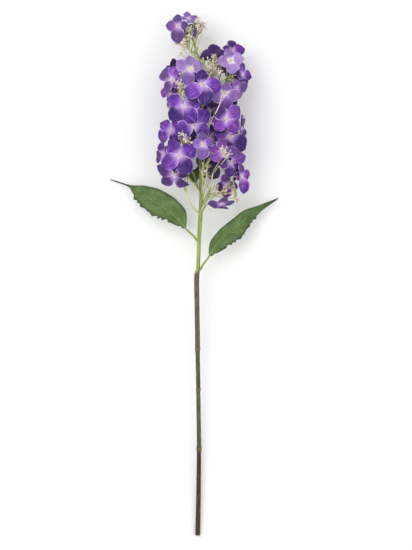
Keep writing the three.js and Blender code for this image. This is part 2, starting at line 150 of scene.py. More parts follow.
# ---------------------------------------------------------------- shader helpers

class Shader:
    """A material's node tree, with short ways to add and join its nodes."""

    def __init__(self, name):
        self.material = bpy.data.materials.new(name)
        self.material.use_nodes = True
        self.nodes = self.material.node_tree.nodes
        self.links = self.material.node_tree.links
        self.surface = self.nodes["Principled BSDF"]

    def join(self, source, target):
        self.links.new(source, target)

    def put(self, socket, value):
        """Sets a socket to a number or colour, or joins it to another socket."""
        if isinstance(value, bpy.types.NodeSocket):
            self.join(value, socket)
        else:
            socket.default_value = value

    def attribute(self, name, output="Fac"):
        node = self.nodes.new("ShaderNodeAttribute")
        node.attribute_name = name
        return node.outputs[output]

    def math(self, operation, a, b=0.0, clamp=False):
        node = self.nodes.new("ShaderNodeMath")
        node.operation = operation
        node.use_clamp = clamp
        self.put(node.inputs[0], a)
        self.put(node.inputs[1], b)
        return node.outputs[0]

    def smooth(self, value, low, high, to_low=0.0, to_high=1.0):
        node = self.nodes.new("ShaderNodeMapRange")
        node.interpolation_type = "SMOOTHSTEP"
        self.put(node.inputs["Value"], value)
        node.inputs["From Min"].default_value = low
        node.inputs["From Max"].default_value = high
        node.inputs["To Min"].default_value = to_low
        node.inputs["To Max"].default_value = to_high
        return node.outputs["Result"]

    def mix(self, share, a, b):
        node = self.nodes.new("ShaderNodeMix")
        node.data_type = "RGBA"
        self.put(node.inputs["Factor"], share)
        self.put(node.inputs["A"], a)
        self.put(node.inputs["B"], b)
        return node.outputs["Result"]

    def combine(self, x, y, z):
        node = self.nodes.new("ShaderNodeCombineXYZ")
        self.put(node.inputs[0], x)
        self.put(node.inputs[1], y)
        self.put(node.inputs[2], z)
        return node.outputs[0]

    def noise(self, vector, scale, detail=3.0):
        node = self.nodes.new("ShaderNodeTexNoise")
        node.inputs["Scale"].default_value = scale
        node.inputs["Detail"].default_value = detail
        self.join(vector, node.inputs["Vector"])
        return node.outputs["Fac"]

    def object_place(self, stretch=(1, 1, 1)):
        coordinates = self.nodes.new("ShaderNodeTexCoord")
        mapping = self.nodes.new("ShaderNodeMapping")
        mapping.inputs["Scale"].default_value = stretch
        self.join(coordinates.outputs["Object"], mapping.inputs["Vector"])
        return mapping.outputs["Vector"]

    def bump(self, height, strength, distance):
        node = self.nodes.new("ShaderNodeBump")
        node.inputs["Strength"].default_value = strength
        node.inputs["Distance"].default_value = distance
        self.join(height, node.inputs["Height"])
        self.join(node.outputs["Normal"], self.surface.inputs["Normal"])

    def finish(self, colour, roughness, gloss=0.3):
        self.put(self.surface.inputs["Base Color"], colour)
        self.put(self.surface.inputs["Roughness"], roughness)
        self.surface.inputs["Specular IOR Level"].default_value = gloss
        return self.material


def petal_streaks(s, along, across, tone):
    """Fine veins that run along a petal, different on every petal."""
    across = s.math("MULTIPLY", across, s.smooth(along, 0.0, 1.0, 3.2, 7.0))
    return s.noise(s.combine(s.math("MULTIPLY", along, 1.3), across, s.math("MULTIPLY", tone, 31)), 1.6, 6.0)


def petal_front_material(colours):
    s = Shader("petal front")
    along, across = s.attribute("along"), s.attribute("across")
    tone, hue, pale = s.attribute("tone"), s.attribute("hue"), s.attribute("pale")
    deep, bright, lilac = tuple(colours.petal_deep), tuple(colours.petal_bright), tuple(colours.petal_lilac)
    edge = s.math("ABSOLUTE", across)
    streaks = petal_streaks(s, along, across, tone)
    blotch_place = s.combine(s.math("MULTIPLY", along, 2.4), across, s.math("MULTIPLY", tone, 17))
    blotches = s.noise(blotch_place, 1.3, 2.0)
    light = s.math("ADD", tone, s.math("MULTIPLY", s.math("SUBTRACT", blotches, 0.5), 1.5))
    light = s.smooth(light, 0.08, 0.95)
    violet = s.mix(light, deep, bright)
    magenta = s.mix(light, linear(66, 16, 82), tuple(colours.petal_magenta))
    violet = s.mix(s.math("MULTIPLY", hue, 0.85, clamp=True), violet, magenta)
    violet = s.mix(s.smooth(along, 0.55, 1.0, 0.0, 0.5), violet, deep)
    # painted shade: the half of each petal on one side of its middle is darkened towards the deep violet
    violet = s.mix(s.smooth(across, -0.1, 0.15, 0.3, 0.0), violet, deep)
    violet = s.mix(s.smooth(streaks, 0.5, 0.66, 0.0, 0.7), violet, linear(34, 8, 74))
    # pale lilac veil between the veins, strongest on the lighter petals: partly the petal's own paler colour and
    # partly a painted highlight
    pale_veil_and_highlight = s.math("MULTIPLY", s.smooth(streaks, 0.49, 0.33), s.smooth(light, 0.0, 1.0, 0.2, 0.65))
    violet = s.mix(pale_veil_and_highlight, violet, linear(164, 108, 218))
    pale_patches = s.math("MULTIPLY", pale, s.smooth(blotches, 0.3, 0.7, 0.95, 0.45))
    violet = s.mix(pale_patches, violet, linear(186, 158, 214))
    base = s.smooth(s.math("ADD", along, s.math("MULTIPLY", streaks, -0.3)), 0.3, -0.06, 0.0, 0.75)
    violet = s.mix(base, violet, lilac)
    reach = s.math("ADD", along, s.math("MULTIPLY", s.math("SUBTRACT", streaks, 0.5), 0.5))
    throat = s.smooth(s.math("ADD", reach, s.math("MULTIPLY", pale, -0.16)), 0.16, 0.03)
    violet = s.mix(throat, violet, tuple(colours.petal_throat))
    # lilac rim along the edges and the tip of a petal: partly the petal's own paler margin and partly a painted
    # highlight
    rim = s.math("MAXIMUM", s.smooth(edge, 0.8, 0.97), s.smooth(along, 0.93, 0.995))
    rim = s.math("MULTIPLY", rim, s.smooth(blotches, 0.42, 0.6, 0.1, 0.95))
    violet = s.mix(rim, violet, lilac)
    s.bump(streaks, 0.8, 0.001)
    return s.finish(violet, 0.5, 0.3)


def petal_back_material(colours):
    s = Shader("petal back")
    along, across, tone = s.attribute("along"), s.attribute("across"), s.attribute("tone")
    streaks = petal_streaks(s, along, across, tone)
    colour = s.mix(s.smooth(tone, 0.1, 0.9), linear(74, 50, 104), tuple(colours.petal_back))
    colour = s.mix(s.smooth(streaks, 0.42, 0.62, 0.0, 0.6), colour, linear(58, 34, 88))
    colour = s.mix(s.smooth(along, 0.22, 0.04), colour, tuple(colours.petal_throat))
    s.bump(streaks, 0.45, 0.0008)
    return s.finish(colour, 0.6, 0.2)


def stalk_material(name, pale, green, low, high):
    """Pale near the florets and green near the stem, by how far along the stalk a point is."""
    s = Shader(name)
    along = s.attribute("stalk_share")
    mottle = s.noise(s.object_place((220, 90, 220)), 1.0)
    share = s.smooth(s.math("ADD", along, s.math("MULTIPLY", mottle, 0.3)), low, high)
    colour = s.mix(share, tuple(pale), tuple(green))
    colour = s.mix(s.smooth(mottle, 0.55, 0.75, 0.0, 0.35), colour, linear(110, 100, 60))
    s.bump(mottle, 0.3, 0.0004)
    return s.finish(colour, 0.5)


def branch_material(colours):
    s = Shader("branch green")
    place = s.object_place()
    mottle = s.noise(place, 160.0, 4.0)
    patches = s.noise(place, 28.0, 2.0)
    colour = s.mix(s.smooth(patches, 0.38, 0.62), tuple(colours.stalk_green), tuple(colours.stalk_pale))
    colour = s.mix(s.smooth(mottle, 0.5, 0.8, 0.0, 0.5), colour, linear(92, 104, 44))
    s.bump(mottle, 0.35, 0.0005)
    return s.finish(colour, 0.48)


def bud_material(colours):
    s = Shader("bud")
    place = s.object_place()
    speckle = s.noise(place, 420.0, 3.0)
    patches = s.noise(place, 60.0, 2.0)
    colour = s.mix(s.smooth(patches, 0.4, 0.65, 0.0, 0.9), tuple(colours.bud_cream), linear(208, 186, 176))
    colour = s.mix(s.smooth(speckle, 0.52, 0.68, 0.0, 0.85), colour, tuple(colours.bud_blush))
    s.bump(speckle, 0.3, 0.0004)
    return s.finish(colour, 0.5)


def bark_material(colours):
    s = Shader("stem bark")
    height = s.attribute("height")
    streaks = s.noise(s.object_place((900, 60, 900)), 1.0, 6.0)
    patches = s.noise(s.object_place((60, 22, 60)), 1.0, 4.0)
    moved = s.math("ADD", height, s.math("MULTIPLY", s.math("SUBTRACT", patches, 0.5), 0.02))
    colour = s.mix(s.smooth(moved, 0.118, 0.134), tuple(colours.bark_dark), tuple(colours.bark_olive))
    colour = s.mix(s.smooth(moved, 0.264, 0.278), colour, tuple(colours.bark_grey))
    dark = s.mix(0.55, colour, (0.012, 0.009, 0.006, 1))
    light = s.mix(0.38, colour, linear(190, 180, 160))
    colour = s.mix(s.smooth(streaks, 0.56, 0.36, 0.0, 0.75), colour, dark)
    colour = s.mix(s.smooth(streaks, 0.56, 0.72, 0.0, 0.55), colour, light)
    ring = s.attribute("ring")
    colour = s.mix(s.math("MULTIPLY", ring, 0.5), colour, linear(140, 132, 84))
    slant = s.attribute("green_share")
    stripes = s.noise(s.object_place((420, 30, 420)), 1.0, 4.0)
    green = s.mix(s.smooth(stripes, 0.4, 0.62), linear(120, 140, 66), linear(158, 174, 96))
    green = s.mix(s.smooth(patches, 0.55, 0.72, 0.0, 0.5), green, linear(112, 116, 60))
    colour = s.mix(slant, colour, green)
    pith = s.attribute("pith")
    colour = s.mix(pith, colour, linear(186, 164, 124))
    s.bump(streaks, 0.6, 0.0006)
    return s.finish(colour, s.smooth(slant, 0.0, 1.0, 0.78, 0.5))


def leaf_material(colours, name, under=False):
    s = Shader(name)
    along, across, vein = s.attribute("along"), s.attribute("across"), s.attribute("vein")
    place = s.object_place()
    mottle = s.noise(place, 70.0, 5.0)
    fine = s.noise(place, 420.0, 4.0)
    colour = s.mix(s.smooth(mottle, 0.35, 0.65), tuple(colours.leaf_top), linear(96, 122, 68))
    edge = s.math("ABSOLUTE", across)
    # painted shade: the edges and the tip of the blade are darkened with the colour that stands for the leaf's
    # shaded parts
    colour = s.mix(s.smooth(edge, 0.72, 1.0, 0.0, 0.75), colour, tuple(colours.leaf_dark))
    colour = s.mix(s.smooth(along, 0.7, 1.0, 0.0, 0.7), colour, tuple(colours.leaf_dark))
    colour = s.mix(s.smooth(fine, 0.52, 0.75, 0.0, 0.45), colour, tuple(colours.leaf_dark))
    broken = s.smooth(mottle, 0.3, 0.6, 0.25, 0.75)
    colour = s.mix(s.math("MULTIPLY", s.smooth(vein, 0.3, 0.95), broken), colour, tuple(colours.leaf_vein))
    if under:
        colour = s.mix(0.35, colour, linear(150, 170, 130))
    s.bump(s.math("ADD", fine, s.math("MULTIPLY", vein, -0.8)), 0.35, 0.0006)
    return s.finish(colour, 0.62 if under else 0.42)


def floor_material(colours):
    s = Shader("floor")
    grain = s.noise(s.object_place(), 3.0, 2.0)
    colour = s.mix(s.smooth(grain, 0.3, 0.7, 0.0, 0.15), tuple(colours.floor), linear(240, 240, 241))
    return s.finish(colour, 0.9)


def material(name, make, *args):
    return bpy.data.materials.get(name) or make(*args)


# ---------------------------------------------------------------- mesh helpers

def plain_object(name, mesh):
    thing = bpy.data.objects.new(name, mesh)
    bpy.context.scene.collection.objects.link(thing)
    return thing


def mesh_of(name, points, faces, materials, values=()):
    """A smooth mesh. values are (name, list of one number for each point)."""
    mesh = bpy.data.meshes.new(name)
    mesh.from_pydata([tuple(p) for p in points], [], faces)
    for label, numbers in values:
        attribute = mesh.attributes.new(label, "FLOAT", "POINT")
        attribute.data.foreach_set("value", np.asarray(numbers, np.float32))
    for m in materials:
        mesh.materials.append(m)
    mesh.polygons.foreach_set("use_smooth", [True] * len(mesh.polygons))
    mesh.update()
    return mesh


def frozen(thing):
    """The object with its modifiers worked into a plain mesh."""
    bpy.context.view_layer.update()
    graph = bpy.context.evaluated_depsgraph_get()
    evaluated_thing = thing.evaluated_get(graph)
    mesh = bpy.data.meshes.new_from_object(evaluated_thing, preserve_all_data_layers=True, depsgraph=graph)
    name = thing.name
    old = thing.data
    bpy.data.objects.remove(thing)
    if isinstance(old, bpy.types.Mesh):
        bpy.data.meshes.remove(old)
    mesh.name = name
    return plain_object(name, mesh)


def settle(piece, slot, *nodes):
    """Makes a finished piece ride on the stem's body, and hides the nodes it stands for. Its finish, slot, is
    not used.
    """
    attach(piece, "root")
    if nodes:
        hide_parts(*nodes)


def unique_points(name):
    mesh = NODES[name].data
    co = np.empty(len(mesh.vertices) * 3, np.float32)
    mesh.vertices.foreach_get("co", co)
    return np.unique(np.round(co.reshape(-1, 3).astype(float), 7), axis=0)


def loft(rings):
    """Faces of a closed tube of equal rings, with a flat fan on each end."""
    count, sides = len(rings), len(rings[0])
    faces = []
    for i in range(count - 1):
        for j in range(sides):
            k = (j + 1) % sides
            faces.append((i * sides + j, i * sides + k, (i + 1) * sides + k, (i + 1) * sides + j))
    points = [p for ring in rings for p in ring]
    for i, turn in ((0, -1), (count - 1, 1)):
        middle = sum((Vector(p) for p in rings[i]), Vector()) / sides
        points.append(middle)
        for j in range(sides):
            k = (j + 1) % sides
            pair = (j, k) if turn > 0 else (k, j)
            faces.append((i * sides + pair[0], i * sides + pair[1], len(points) - 1))
    return points, faces


# ---------------------------------------------------------------- Geometry Nodes helpers

class Tree:
    """A Geometry Nodes tree with named inputs."""

    def __init__(self, name):
        self.group = bpy.data.node_groups.new(name, "GeometryNodeTree")
        self.group.interface.new_socket("Geometry", in_out="INPUT", socket_type="NodeSocketGeometry")
        self.group.interface.new_socket("Geometry", in_out="OUTPUT", socket_type="NodeSocketGeometry")
        self.start = self.group.nodes.new("NodeGroupInput")
        self.end = self.group.nodes.new("NodeGroupOutput")

    def take(self, name, kind, default):
        socket = self.group.interface.new_socket(name, in_out="INPUT", socket_type=kind)
        if default is not None:
            socket.default_value = default
        return self.start.outputs[name]

    def add(self, kind, inputs=None, **settings):
        node = self.group.nodes.new(kind)
        for key, value in settings.items():
            setattr(node, key, value)
        for key, value in (inputs or {}).items():
            socket = node.inputs[key]
            if isinstance(value, bpy.types.NodeSocket):
                self.group.links.new(value, socket)
            else:
                socket.default_value = value
        return node

    def close(self, geometry):
        """Every tree ends with its instances made real and its material set."""
        real = self.add("GeometryNodeRealizeInstances", {"Geometry": geometry})
        painted = self.add("GeometryNodeSetMaterial", {
            "Geometry": real.outputs[0], "Material": self.take("Material", "NodeSocketMaterial", None)})
        self.group.links.new(painted.outputs[0], self.end.inputs[0])

    def run(self, thing, **values):
        """Puts the tree on an object, sets its inputs by their identifiers, and freezes the result."""
        modifier = thing.modifiers.new(self.group.name, "NODES")
        modifier.node_group = self.group
        for item in self.group.interface.items_tree:
            if item.in_out == "INPUT" and item.name in values:
                modifier[item.identifier] = values[item.name]
        return frozen(thing)


def stalk_tree():
    """Round stalks along curves, as thick as each curve's own radius."""
    tree = Tree("round stalks")
    sides = tree.take("Sides", "NodeSocketInt", 8)
    step = tree.take("Step", "NodeSocketFloat", 0.0012)
    share = tree.add("GeometryNodeSplineParameter")
    kept = tree.add("GeometryNodeStoreNamedAttribute", {
        "Geometry": tree.start.outputs[0], "Name": "stalk_share", "Value": share.outputs["Factor"]},
        data_type="FLOAT", domain="POINT")
    even = tree.add("GeometryNodeResampleCurve", {"Curve": kept.outputs[0], "Length": step}, mode="LENGTH")
    ring = tree.add("GeometryNodeCurvePrimitiveCircle", {"Resolution": sides, "Radius": 1.0})
    inputs = {"Curve": even.outputs[0], "Profile Curve": ring.outputs[0], "Fill Caps": True}
    tube = tree.add("GeometryNodeCurveToMesh", inputs)
    if "Scale" in tube.inputs:
        radius = tree.add("GeometryNodeInputRadius")
        tree.group.links.new(radius.outputs[0], tube.inputs["Scale"])
    smooth = tree.add("GeometryNodeSetShadeSmooth", {"Geometry": tube.outputs[0]})
    tree.close(smooth.outputs[0])
    return tree


def bud_tree():
    """Closed buds on points. A point's normal is the way its bud looks."""
    tree = Tree("closed buds")
    radius = tree.take("Radius", "NodeSocketFloat", 0.0017)
    seed = tree.take("Seed", "NodeSocketInt", 7)
    ball = tree.add("GeometryNodeMeshUVSphere", {"Segments": 10, "Rings": 7, "Radius": 1.0})
    place = tree.add("GeometryNodeInputPosition")
    parts = tree.add("ShaderNodeSeparateXYZ", {"Vector": place.outputs[0]})
    taper = tree.add("ShaderNodeMapRange", {
        "Value": parts.outputs["Z"], "From Min": -1.0, "From Max": 1.0, "To Min": 1.15, "To Max": 0.62})
    flat = tree.add("ShaderNodeCombineXYZ", {
        "X": taper.outputs["Result"], "Y": taper.outputs["Result"], "Z": 1.3})
    shaped = tree.add("ShaderNodeVectorMath", {0: place.outputs[0], 1: flat.outputs[0]}, operation="MULTIPLY")
    bud_sockets = {"Geometry": ball.outputs["Mesh"], "Position": shaped.outputs[0]}
    bud = tree.add("GeometryNodeSetPosition", bud_sockets)
    soft = tree.add("GeometryNodeSetShadeSmooth", {"Geometry": bud.outputs[0]})
    way = tree.add("GeometryNodeInputNamedAttribute", {"Name": "way"}, data_type="FLOAT_VECTOR")
    turn = tree.add("FunctionNodeAlignRotationToVector", {"Vector": way.outputs[0]}, axis="Z")
    spread = tree.add("FunctionNodeRandomValue", {"Seed": seed}, data_type="FLOAT")
    spread.inputs[2].default_value = 0.65
    spread.inputs[3].default_value = 1.2
    size = tree.add("ShaderNodeMath", {0: spread.outputs[1], 1: radius}, operation="MULTIPLY")
    copies = tree.add("GeometryNodeInstanceOnPoints", {
        "Points": tree.start.outputs[0], "Instance": soft.outputs[0], "Rotation": turn.outputs[0],
        "Scale": size.outputs[0]})
    tree.close(copies.outputs[0])
    return tree


def curves_object(name, lines):
    """A curve object. Each line is a list of (point, radius)."""
    curve = bpy.data.curves.new(name, "CURVE")
    curve.dimensions = "3D"
    for line in lines:
        spline = curve.splines.new("POLY")
        spline.points.add(len(line) - 1)
        for knot, (point, radius) in zip(spline.points, line):
            knot.co = (*point, 1.0)
            knot.radius = radius
    return plain_object(name, curve)


def points_object(name, points, ways):
    mesh = bpy.data.meshes.new(name)
    mesh.from_pydata([tuple(p) for p in points], [], [])
    attribute = mesh.attributes.new("way", "FLOAT_VECTOR", "POINT")
    attribute.data.foreach_set("vector", np.asarray([tuple(w) for w in ways], np.float32).ravel())
    return plain_object(name, mesh)


def bent_line(start, start_way, end, end_way, count, radii):
    """A smooth line between two points that leaves and arrives along the given ways."""
    reach = (end - start).length / 3
    knots = (start, start + start_way * reach, end - end_way * reach, end)
    line = []
    for i in range(count + 1):
        t = i / count
        weights = ((1 - t) ** 3, 3 * t * (1 - t) ** 2, 3 * t * t * (1 - t), t ** 3)
        point = sum((w * k for w, k in zip(weights, knots)), Vector())
        line.append((point, float(np.interp(t, np.linspace(0, 1, len(radii)), radii))))
    return line


# ---------------------------------------------------------------- florets

CALYX_REACH = 0.004      # the calyx and its joints lie inside this distance from a floret's axis
SAME_DIRECTION = math.radians(1.2)
CAP_REACH = 0.002        # the flat end of a stalk lies within this height of its lowest point
ON_AXIS = 0.0003


def facing_of(mesh):
    """The way a floret looks, up to its sign: the direction that most of its surface faces."""
    spread = np.zeros((3, 3))
    for face in mesh.polygons:
        n = np.array(face.normal)
        spread += face.area * np.outer(n, n)
    return np.linalg.eigh(spread)[1][:, -1]


def read_floret(node):
    """Throat, facing, stalk end and petals of a floret, from its solid in the frame.
    A petal is its direction, reach and lift, with the angle to the notch on each side."""
    axis = facing_of(NODES[node].data)
    points = unique_points(node)
    heights = points @ axis
    if heights.max() - np.median(heights) > np.median(heights) - heights.min():
        axis, heights = -axis, -heights
    cap = points[heights < heights.min() + CAP_REACH]
    stalk_end = cap.mean(axis=0)
    square = np.linalg.svd(cap - stalk_end)[2][-1]
    axis = square if square @ axis > 0 else -square
    away = points - stalk_end
    along = away @ axis
    flat = away - np.outer(along, axis)
    radial = np.linalg.norm(flat, axis=1)
    level = along[radial < ON_AXIS].max()
    right = np.cross((0, 1, 0), axis)
    right /= np.linalg.norm(right)
    up = np.cross(axis, right)
    far = radial > CALYX_REACH
    rows = sorted(zip(np.arctan2(flat[far] @ up, flat[far] @ right), radial[far], along[far] - level))
    groups = [[rows[0]]]
    for row in rows[1:]:
        if row[0] - groups[-1][-1][0] < SAME_DIRECTION:
            groups[-1].append(row)
        else:
            groups.append([row])
    if groups[0][0][0] + 2 * math.pi - groups[-1][-1][0] < SAME_DIRECTION:
        groups[0] += [(a - 2 * math.pi, r, z) for a, r, z in groups.pop()]
    rim = []
    for group in groups:
        reach = max(r for _, r, _ in group)
        outer = [row for row in group if row[1] > 0.9 * reach]
        rim.append((np.mean([a for a, _, _ in outer]), reach, np.mean([z for _, _, z in outer])))
    count = len(rim)
    tips = [i for i in range(count) if rim[i][1] > rim[i - 1][1] and rim[i][1] > rim[(i + 1) % count][1]]
    petals = []
    for order, i in enumerate(tips):
        before, after = rim[tips[order - 1]], rim[tips[(order + 1) % len(tips)]]
        angle = rim[i][0]
        room_before = ((angle - before[0]) % (2 * math.pi)) / 2
        room_after = ((after[0] - angle) % (2 * math.pi)) / 2
        petals.append((angle, rim[i][1], rim[i][2], room_before, room_after))
    return {
        "node": node, "throat": Vector(stalk_end + axis * level), "stalk_end": Vector(stalk_end),
        "axis": Vector(axis), "right": Vector(right), "up": Vector(up), "petals": petals,
    }


PETAL_WIDEST = 1.12  # above 1 the widest place lies nearer the tip than the middle
PETAL_CLAW = 0.04  # least width of a petal, as a share of its greatest
PETAL_LENGTH_SHARE = 1.03  # as a share of the petal's reach in the CAD
ROOM_ANGLE = 48  # degrees of room beyond which a petal grows no wider
ROOM_SPREAD = 1.06
ROOM_SHARE = 0.56


def petal_width(share, roundness):
    """Half the width of a petal along its length, as a share of its greatest: narrow claw, broad blade."""
    bulge = math.sin(math.pi * min(share, 1.0) ** PETAL_WIDEST)
    return max(bulge, 0.0) ** roundness * (1 - PETAL_CLAW) + PETAL_CLAW


def petal_room(angle, fullness):
    """How wide a petal may be on one side, from the angle that it has there."""
    return min(math.tan(min(angle, math.radians(ROOM_ANGLE)) * ROOM_SPREAD) * ROOM_SHARE, fullness)


PETAL_ROWS = 13
PETAL_COLUMNS = 8


def petal_mesh(floret, sizes, look, chance, points, faces, values):
    """Adds the petals of one floret to the lists."""
    for order, (angle, reach, lift, before, after) in enumerate(floret["petals"]):
        hue = look[0] + chance.uniform(-0.2, 0.2)
        tone = min(max(look[1] + chance.uniform(-0.35, 0.35), 0.0), 1.0)
        pale = look[2] * chance.uniform(0.4, 1.4)
        phase = chance.uniform(0, 6.28)
        arch = chance.uniform(0.01, 0.08)
        tip_curl = chance.uniform(-0.16, 0.1)
        cup = chance.uniform(-0.12, 0.3)
        ruffle = chance.uniform(0.012, 0.05)
        roundness = chance.uniform(0.5, 1.05)
        skew = chance.uniform(-0.14, 0.14)
        crease = chance.uniform(0.02, 0.055)
        first = len(points)
        way = floret["right"] * math.cos(angle) + floret["up"] * math.sin(angle)
        side = floret["axis"].cross(way)
        room = [petal_room(angle_there, sizes.petal_fullness) for angle_there in (before, after)]
        length = reach * PETAL_LENGTH_SHARE
        for i in range(PETAL_ROWS + 1):
            u = 0.02 + 0.98 * i / PETAL_ROWS
            for j in range(PETAL_COLUMNS + 1):
                v = 2 * j / PETAL_COLUMNS - 1
                wide = room[1 if v > 0 else 0] * length * petal_width(u, roundness)
                round_tip = 0.035 * (1 - v * v) * u ** 6
                along = (u - 0.035 * u ** 6 + round_tip) * length
                wave = ruffle * length * math.sin(10 * u + phase + 2.2 * v) * v * v * u
                height = lift * u ** 1.5 + arch * length * math.sin(math.pi * u)
                height += cup * wide * v * v + 0.13 * wide * v + wave
                height -= crease * length * math.exp(-((v / 0.16) ** 2)) * math.sin(math.pi * u ** 0.7)
                height += tip_curl * length * u ** 4
                aside = v * wide + skew * length * u ** 3
                place = floret["throat"] + way * along + side * aside + floret["axis"] * height
                place.z = max(place.z, sizes.petal_thickness)
                points.append(place)
                point_values = {"along": u, "across": v, "tone": tone, "hue": hue, "pale": pale}
                for key, number in point_values.items():
                    values[key].append(number)
        row = PETAL_COLUMNS + 1
        for i in range(PETAL_ROWS):
            for j in range(PETAL_COLUMNS):
                a = first + i * row + j
                faces.append((a, a + row, a + row + 1, a + 1))


# How the florets differ: how red and how light their violet is, and how much they are faded. The lightness is
# partly each floret's own colour and partly painted shade: the darkest tones, as on shaded, stand for the shade
# among the florets.
LOOKS = {
    "front_top": (0.25, 0.45, 0), "front_left": (0.05, 0.38, 0), "front_low": (0.2, 0.42, 0),
    "front_right": (0.55, 0.62, 0.05), "middle_left": (0.7, 0.45, 0), "middle_deep": (0.0, 0.35, 0),
    "upper_pale": (0.4, 0.4, 0.6), "left_upper": (0.7, 0.6, 0.15), "left_small": (0.8, 0.45, 0.1),
    "left_edge": (0.9, 0.2, 0), "right_lilac": (0.3, 0.5, 0.7), "right_crown": (0.6, 0.35, 0),
    "turned_away": (0.4, 0.2, 0), "right_upper": (0.3, 0.3, 0), "right_small": (0.8, 0.5, 0.2),
    "cream_throat": (0.7, 0.5, 0.35), "right_edge": (0.4, 0.15, 0), "right_large": (0.4, 0.25, 0),
    "shaded": (0.3, 0.1, 0), "arched": (0.75, 0.65, 0.15), "centre_pale": (0.4, 0.4, 0.4),
    "right_low": (0.5, 0.4, 0.1), "edge_low": (0.9, 0.5, 0), "hanging": (0.8, 0.35, 0.1),
    "lowest": (0.9, 0.35, 0.12), "left_low": (0.85, 0.12, 0.08), "left_pointed": (0.3, 0.3, 0),
    "crown_left": (0.9, 0.35, 0.2), "crown_blue": (0.0, 0.4, 0.55), "crown_edge": (0.3, 0.4, 0.2),
    "tip": (0.1, 0.4, 0.3),
}
# painted shade: the florets hidden inside the head get a dark violet, for the shade between the florets
HIDDEN_SHADE_LOOK = (0.3, 0.2, 0)


def make_petals(floret, sizes, materials, seed):
    points, faces = [], []
    values = {key: [] for key in ("along", "across", "tone", "hue", "pale")}
    short = floret["node"].replace("floret_", "")
    petal_mesh(floret, sizes, LOOKS.get(short, HIDDEN_SHADE_LOOK), random.Random(seed), points, faces, values)
    name = "petals_" + short
    piece = plain_object(name, mesh_of(name, points, faces, materials, values.items()))
    shell = piece.modifiers.new("thickness", "SOLIDIFY")
    shell.thickness = sizes.petal_thickness
    shell.offset = 0
    shell.material_offset = 1
    soft = piece.modifiers.new("soft", "SUBSURF")
    soft.levels = soft.render_levels = 1
    return frozen(piece)


def floret_nodes():
    return sorted(n for n in NODES if n.startswith("floret_"))


def branch_nodes():
    return sorted(n for n in NODES if n.startswith("branch_"))


class HYDRANGEA_OT_florets(bpy.types.Operator):
    """Make the four curved, veined petals of every floret"""
    bl_idname = "hydrangea.florets"
    bl_label = "Florets"

    def execute(self, context):
        scene = context.scene
        front = material("petal front", petal_front_material, scene.hydrangea_colours)
        back = material("petal back", petal_back_material, scene.hydrangea_colours)
        for seed, node in enumerate(floret_nodes()):
            floret = read_floret(node)
            if len(floret["petals"]) != 4:
                raise RuntimeError(node + " doesn't show four petals")
            piece = make_petals(floret, scene.hydrangea_sizes, (front, back), seed)
            settle(piece, "violet_petal", node)
        return {"FINISHED"}


STALK_RUN = 0.03         # a stalk joins the branches at least this far below its end
HEAD_FROM = 0.46         # where the flower head begins, from the cut end


def stalk_targets():
    """Places on the branches and the stem that a stalk may grow from."""
    branches = [unique_points(n) for n in branch_nodes()]
    spine = [stem_centre(y) for y in np.arange(STEM_Y[0] + HEAD_FROM, STEM_Y[-1], 0.004)]
    return np.vstack([*branches, np.array(spine)])


def nearest_below(targets, end):
    lower = targets[targets[:, 1] < end.y - STALK_RUN]
    return Vector(lower[np.argmin(np.linalg.norm(lower - np.array(end), axis=1))])


class HYDRANGEA_OT_stalks(bpy.types.Operator):
    """Make the calyx and the stalk of every floret, down to its branch"""
    bl_idname = "hydrangea.stalks"
    bl_label = "Floret stalks"

    def execute(self, context):
        sizes, colours = context.scene.hydrangea_sizes, context.scene.hydrangea_colours
        targets = stalk_targets()
        lines = []
        for node in floret_nodes():
            floret = read_floret(node)
            top, end, axis = floret["throat"], floret["stalk_end"], floret["axis"]
            near = nearest_below(targets, end)
            stem = stem_centre(near.y - 0.01)
            arrive = (stem - near).normalized() * 0.5 + Vector((0, -0.5, 0))
            cup, thin = sizes.calyx_radius, sizes.stalk_radius
            line = [(top - axis * 0.0003, cup * 1.15), (top - axis * 0.0012, cup * 1.1),
                    (top - axis * 0.003, cup * 0.8), (top - axis * 0.0045, thin)]
            line += bent_line(end, -axis, near, arrive.normalized(), 8, (thin, thin * 0.9, thin * 1.25))
            lines.append(line)
        paint = material("floret stalk", stalk_material, "floret stalk",
                         colours.stalk_pale, colours.stalk_green, 0.45, 1.15)
        piece = stalk_tree().run(curves_object("floret_stalks", lines), Material=paint)
        settle(piece, "green_branch")
        return {"FINISHED"}


THROAT_BEAD_RADIUS = 0.00085


class HYDRANGEA_OT_throats(bpy.types.Operator):
    """Make the small beads in the throat of every floret"""
    bl_idname = "hydrangea.throats"
    bl_label = "Throat beads"

    def execute(self, context):
        colours = context.scene.hydrangea_colours
        chance = random.Random(5)
        points, ways = [], []
        for node in floret_nodes():
            floret = read_floret(node)
            middle = floret["throat"] + floret["axis"] * 0.0011
            points.append(middle)
            ways.append(floret["axis"])
            for k in range(5):
                a = k * 2 * math.pi / 5 + chance.uniform(-0.2, 0.2)
                out = floret["right"] * math.cos(a) + floret["up"] * math.sin(a)
                points.append(middle + out * 0.00115 - floret["axis"] * 0.0002)
                ways.append(floret["axis"] + out * 0.7)
        paint = material("bud", bud_material, colours)
        piece = bud_tree().run(
            points_object("throat_beads", points, ways), Radius=THROAT_BEAD_RADIUS, Seed=3, Material=paint)
        settle(piece, "violet_petal")
        return {"FINISHED"}


# ---------------------------------------------------------------- branches and buds

BUD_KNOB = 0.0024        # radius of the plain knob that stands for a bud cluster in the frame
KNOB_EDGE = BUD_KNOB * 1.05146
KNOB_FLAT = BUD_KNOB * 0.79465


def knob_centres(node):
    """Middles of the plain knobs on a branch: every whole knob face has three edges of one known length."""
    mesh = NODES[node].data
    found = []
    for face in mesh.polygons:
        corners = [mesh.vertices[i].co for i in face.vertices]
        edges = [(corners[i] - corners[i - 1]).length for i in range(len(corners))]
        if len(corners) == 3 and all(abs(e / KNOB_EDGE - 1) < 0.02 for e in edges):
            middle = sum(corners, Vector()) / 3 - face.normal * KNOB_FLAT
            if all((middle - other).length > BUD_KNOB for other in found):
                found.append(middle)
    return found


